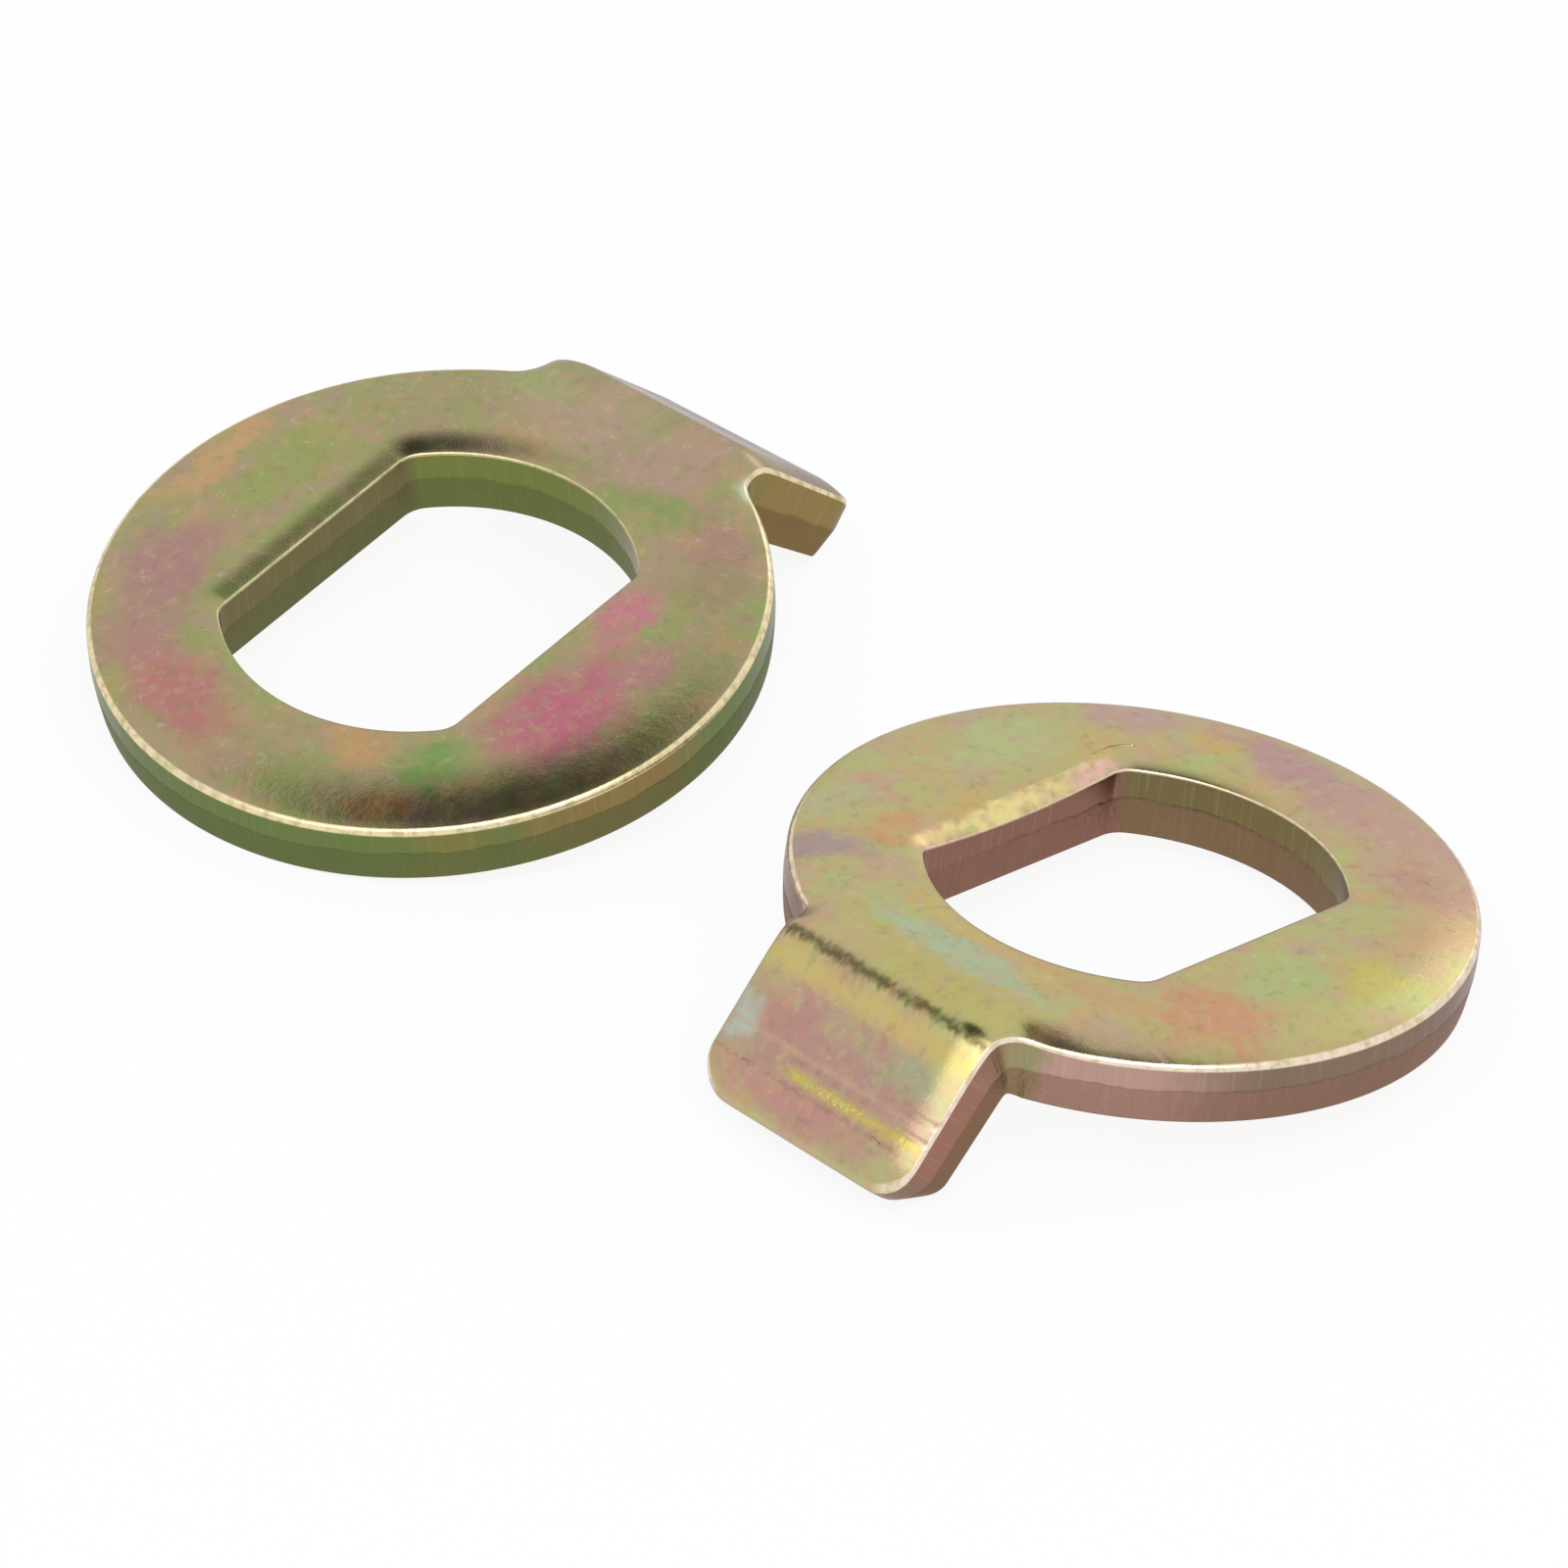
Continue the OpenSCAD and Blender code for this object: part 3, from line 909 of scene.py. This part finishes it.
def with_walls(finish, colour, walls):
    """The rim's and the hole's walls over the colour of the faces."""
    torn, line_strength = finish.torn, walls["line_strength"]
    on_disc = finish.along.step(11.6, 10.4)
    tear_start = torn * (1 - torn) * 4
    # the rim's wall with patches of painted sheen from the side light
    outer = finish.clouded(walls["rim"], walls["rim_sheen_patches"])
    outer = finish.mixed(torn * 0.6, outer, finish.mixed(on_disc, torn_tab, walls["torn"]))
    outer = finish.mixed(tear_start * on_disc * 0.3, outer, tear_shadow)
    on_round = finish.aside.absolute().step(hole_flat + 0.02, hole_flat - 0.25)
    inner = finish.mixed(on_round, walls["hole_flat"], walls["hole_round"])
    inner = finish.mixed(torn * 0.5, inner, walls["torn"])
    colour = finish.mixed(finish.outer, colour, outer)
    colour = finish.mixed(finish.inner, colour, inner)
    bright_lines = finish.lines * (line_strength - torn * line_strength * 0.5)
    colour = finish.mixed(bright_lines, colour, walls["pale_wear_and_highlight"])
    dark_lines = finish.upright.step(0.44, 0.3) * finish.walls * line_strength
    return finish.mixed(dark_lines, colour, line_shadow)


print("torn metal on the tab:", [round(v, 2) for v in torn_tab])

# %% [markdown]
# Handling wears the film off the small corner of each rolled edge, where the metal shows as a thin
# pale line. The line is also a painted highlight, for the light that the small corner catches. The
# line follows the corner that the mesh marks, and noise breaks it up. It is weaker on the end of the
# tab. The Pointiness of Blender's Geometry node finds edges by itself, but its width depends on how
# close the corners of the mesh lie.

# %% Worn edges with painted highlight
def with_worn_and_highlit_edges(finish, colour, pale_wear_and_highlight):
    """The thin pale lines on the rolled edges of the rim and of the hole: worn film and painted highlight.
    """
    wear = finish.grain(finish.place, 0.35, 3).step(0.3, 0.6)
    at_end = finish.along.step(15.4, 16.2) * finish.aside.absolute().step(4.3, 3.5)
    # worn film and painted highlight on the small corners of the rim and, below, of the hole's lip
    rim_line = finish.corner * finish.at_rim * (wear * 0.6 + 0.4) * (1 - at_end * 0.9)
    lip_line = finish.corner * finish.at_hole * (wear * 0.4 + 0.3)
    return finish.mixed(lip_line, finish.mixed(rim_line, colour, pale_wear_and_highlight), pale_wear_and_highlight)


print("the worn line is about", round(edge_corner * math.pi / 2, 1), "mm wide")

# %% [markdown]
# A hair scratch is the thin middle of a smooth noise, which draws long curves, broken into short ones
# by a second noise. Dust marks are the small round middles of a Voronoi pattern's cells. Both lie on
# the faces only, because nothing rubs along the walls.

# %% Scratches and dust
scratch_colour, dust_colour = seen(214, 216, 210), seen(216, 214, 200)
dust_cells, dust_reach = 2.4, 0.1


def with_scratches_and_dust(finish, colour):
    """The marks of handling on the faces."""
    on_faces = 1 - finish.walls
    long_hair = (finish.grain(finish.place, 1.5, 1.5) - 0.5).absolute().step(0.006, 0.001)
    long_hair = long_hair * finish.moved_grain((31, 17, 5), 0.7, 1).step(0.56, 0.6)
    short_hair = (finish.moved_grain((9, 41, 3), 0.8, 1) - 0.52).absolute().step(0.009, 0.002)
    short_hair = short_hair * finish.moved_grain((3, 29, 50), 0.5, 1).step(0.58, 0.62)
    cells = finish.node("ShaderNodeTexVoronoi", None, {"Vector": finish.place, "Scale": dust_cells})
    dust = cells.step(dust_reach, dust_reach / 2) * finish.grain(finish.place, 1.1, 0).step(0.5, 0.62)
    colour = finish.mixed((long_hair + short_hair) * on_faces * 0.2, colour, scratch_colour)
    return finish.mixed(dust * on_faces * 0.4, colour, dust_colour)


print("dust marks are up to", round(2 * dust_reach / dust_cells, 2), "mm across")

# %% [markdown]
# The relief is too fine to model: grain, soft waves, gouges on the rolled edges and in the torn part,
# and the dents that the bending tool left on the tab. They add up to one height, which a Bump node
# turns into shading. The roughness varies too, so that no face shines evenly.

# %% Roughness and relief
relief_step = 0.000004


def roughness(finish):
    """How dull the metal is from point to point."""
    return (0.17 + finish.grain(finish.place, 1.4, 2) * 0.12 + finish.mottle * 0.05
            + finish.torn * finish.walls * 0.25)


def relief(finish):
    """The height of all small marks, in steps of the relief."""
    fine, waves = finish.grain(finish.place, 0.07, 2), finish.grain(finish.place, 0.9, 2)
    die_marks = finish.along.band(14.05, 0.22) + finish.along.band(14.72, 0.2)
    bruise = finish.along.band(15.05, 0.42) * finish.aside.band(0.9, 4.2) * finish.gouges
    crease = finish.along.band(7.5, 0.22)
    rolled_zone = finish.rim.step(2.1, 1.2) * finish.rim.step(0.15, 0.5)
    torn_gouges = finish.torn * finish.walls * finish.gouges
    return (fine * 1.1 + finish.gouges * rolled_zone * 1.6 + waves * 1.6 + finish.lines * 1.2
            + torn_gouges * 14 - die_marks * 5.0 + bruise * 22 - crease * 0.9)


print("one step of relief is", round(relief_step / millimetre, 4), "mm")

# %% [markdown]
# The plating lays one kind of mark over another: the film with its painted highlight on the right
# hole's bevel, the lines of the tool with the painted shade at the bend, the blotches, the walls with
# their painted side sheen, the worn edges with their painted highlight, and the scratches. Under them
# is a plain Principled shader at full Metallic, whose colour is then the colour of its reflections, as
# on real plated steel.

# %% The plating
edge_on_tint = (0.78, 0.74, 0.76, 1)


def plating(name, seed, ground, tints, clouds, marks, walls):
    """A washer's whole finish."""
    material = bpy.data.materials.new(name)
    material.use_nodes = True
    finish = Plating(material.node_tree, seed)
    colour = film(finish, ground, tints, clouds)
    colour = with_tool_marks_and_crest_shade(finish, colour, marks)
    colour = with_blotches(finish, colour, tints)
    colour = with_walls(finish, colour, walls)
    colour = with_worn_and_highlit_edges(finish, colour, walls["pale_wear_and_highlight"])
    colour = with_scratches_and_dust(finish, colour)
    height = relief(finish)
    bump = finish.node("ShaderNodeBump", None, {"Strength": 1.0, "Distance": relief_step, "Height": height})
    shader = material.node_tree.nodes["Principled BSDF"]
    for socket, value in (("Base Color", colour), ("Roughness", roughness(finish)), ("Normal", bump)):
        finish.tree.links.new(value.socket, shader.inputs[socket])
    shader.inputs["Metallic"].default_value = 1.0
    shader.inputs["Specular Tint"].default_value = edge_on_tint
    print(name, "has", len(finish.tree.nodes), "nodes")
    return material


# %% [markdown]
# Each washer's walls have colours of their own, olive on the left one and rose-brown on the right one,
# with patches round the rim of painted sheen: the tint that the light from the side brings out there.

# %% Plating of the two washers
left_walls = {
    "rim": seen(108, 124, 72),
    # painted sheen where the light from the side falls on the rim's wall
    "rim_sheen_patches": [
        ((-3.5, -11.4), (4.2, 3.0), 0, seen(140, 118, 74), 1.0),
        ((-8.6, -8.2), (2.0, 1.8), 0, seen(126, 122, 70), 1.0),
        ((14, -5), (4, 4), 0, seen(146, 120, 72), 0.9),
    ],
    "torn": seen(102, 112, 66),
    "hole_flat": seen(112, 102, 68),
    "hole_round": seen(116, 124, 66),
    "pale_wear_and_highlight": seen(240, 222, 176),
    "line_strength": 0.05,
}
right_walls = {
    "rim": seen(134, 112, 96),
    # painted sheen where the light from the side falls on the rim's wall
    "rim_sheen_patches": [
        ((9.0, 7.6), (4.2, 4.0), 0, seen(184, 148, 138), 1.0),
        ((10.6, 5.2), (1.0, 1.0), 0, seen(150, 150, 104), 0.9),
        ((14, 5), (3.4, 3), 0, seen(160, 112, 96), 0.9),
        ((0, -11.6), (9, 3), 0, seen(160, 130, 100), 0.8),
    ],
    "torn": seen(150, 112, 94),
    "hole_flat": seen(136, 98, 84),
    "hole_round": seen(118, 106, 70),
    "pale_wear_and_highlight": seen(242, 224, 200),
    "line_strength": 0.08,
}
olive = plating("left_olive_plating", 3.7, left_ground, left_tints, left_clouds, [], left_walls)
golden = plating(
    "right_gold_plating", 11.2, right_ground, right_tints, right_clouds_and_bevel_highlight, right_marks_and_crest_shade, right_walls)
left_piece.data.materials.append(olive)
right_piece.data.materials.append(golden)

# %% [markdown]
# Polished metal shows the room more than its own colour. This studio has pale walls, a dark gap in
# the ceiling over the work, and one large soft lamp in front of it. The dark gap is what turns
# the rolled edges that face the camera nearly black, and the lamp draws the bright line below it.
# Two small windows, one behind and one in front, light the rolled edges of the right washer.
# The room is painted on the world by direction, so no wall can cast a shadow.

# %% Room
bpy.context.scene.view_settings.view_transform = "Standard"
room = bpy.data.worlds.new("room")
bpy.context.scene.world = room
room.use_nodes = True
room_finish = Finish(room.node_tree)
way = room_finish.node("ShaderNodeTexCoord", out=0)


def disc_of_room(toward, start, full):
    """1 on a round part of the room that lies this way, and 0 past its soft edge."""
    ahead = tuple(Vector(toward).normalized())
    return room_finish.vector("DOT_PRODUCT", way, ahead, out=1).step(start, full)


ceiling_gap, back_window, front_window = (0.0, 0.105, 0.9945), (0.5, 0.76, 0.41), (-0.51, -0.52, 0.68)
wall_light, gap_loss, back_light = 0.95, 0.94, 0.9
light = wall_light - disc_of_room(ceiling_gap, 0.883, 0.982) * gap_loss
light = light + disc_of_room(back_window, 0.976, 0.992) * back_light
light = light + disc_of_room(front_window, 0.95, 0.98)
background = room.node_tree.nodes["Background"]
room_finish.tree.links.new(light.socket, background.inputs["Strength"])
background.inputs["Color"].default_value = (1.01, 1.025, 1.06, 1)
print("the walls of the room shine at", wall_light, "and the gap at", round(wall_light - gap_loss, 2))

# %% [markdown]
# The lamp is one broad panel above and in front, as a product photographer hangs it. A small lamp
# would leave hard sparks on the metal, and the world alone leaves the rounded edges flat.

# %% Lamp
lamp_way, lamp_distance = Vector((0.1, -0.5, 0.86)).normalized(), 0.6
lamp_data = bpy.data.lights.new("soft_lamp", "AREA")
lamp_data.shape = "RECTANGLE"
lamp_data.size, lamp_data.size_y = 0.5, 0.36
lamp_data.energy = 1.1
lamp = bpy.data.objects.new("soft_lamp", lamp_data)
bpy.context.scene.collection.objects.link(lamp)
lamp.location = lamp_way * lamp_distance
lamp.rotation_euler = lamp_way.to_track_quat("Z", "Y").to_euler()
print("lamp of", lamp_data.energy, "W at", [round(v, 2) for v in lamp.location])

# %% [markdown]
# The work lies on a white surface that runs far back, so no edge of it shows. Most of what the
# camera and the metal see of it is plain white, and the rest is lit, which keeps a faint shadow.

# %% Floor
floor_reach, plain_share = 4.0, 0.9
sweep = bmesh.new()
bmesh.ops.create_grid(sweep, x_segments=1, y_segments=1, size=floor_reach)
floor_mesh = bpy.data.meshes.new("white_floor")
sweep.to_mesh(floor_mesh)
sweep.free()
floor = bpy.data.objects.new("white_floor", floor_mesh)
bpy.context.scene.collection.objects.link(floor)
paper = bpy.data.materials.new("white_paper")
paper.use_nodes = True
paper_finish = Finish(paper.node_tree)
camera_ray, glossy_ray, transmission_ray = 0, 3, 6
rays = paper_finish.node("ShaderNodeLightPath", out=camera_ray)
for kind in (glossy_ray, transmission_ray):
    rays = rays.maths("MAXIMUM", rays, paper_finish.node("ShaderNodeLightPath", out=kind))
lit = paper_finish.node("ShaderNodeBsdfDiffuse", None, {"Color": (0.86, 0.86, 0.86, 1)})
plain = paper_finish.node("ShaderNodeEmission", None, {"Color": (1, 1, 1, 1), "Strength": 1.0})
blend = paper_finish.node("ShaderNodeMixShader", None, {0: rays * plain_share, 1: lit, 2: plain})
paper_finish.tree.links.new(blend.socket, paper.node_tree.nodes["Material Output"].inputs["Surface"])
floor.data.materials.append(paper)
print("floor", 2 * floor_reach, "m wide, plain white for", plain_share, "of what is seen of it")
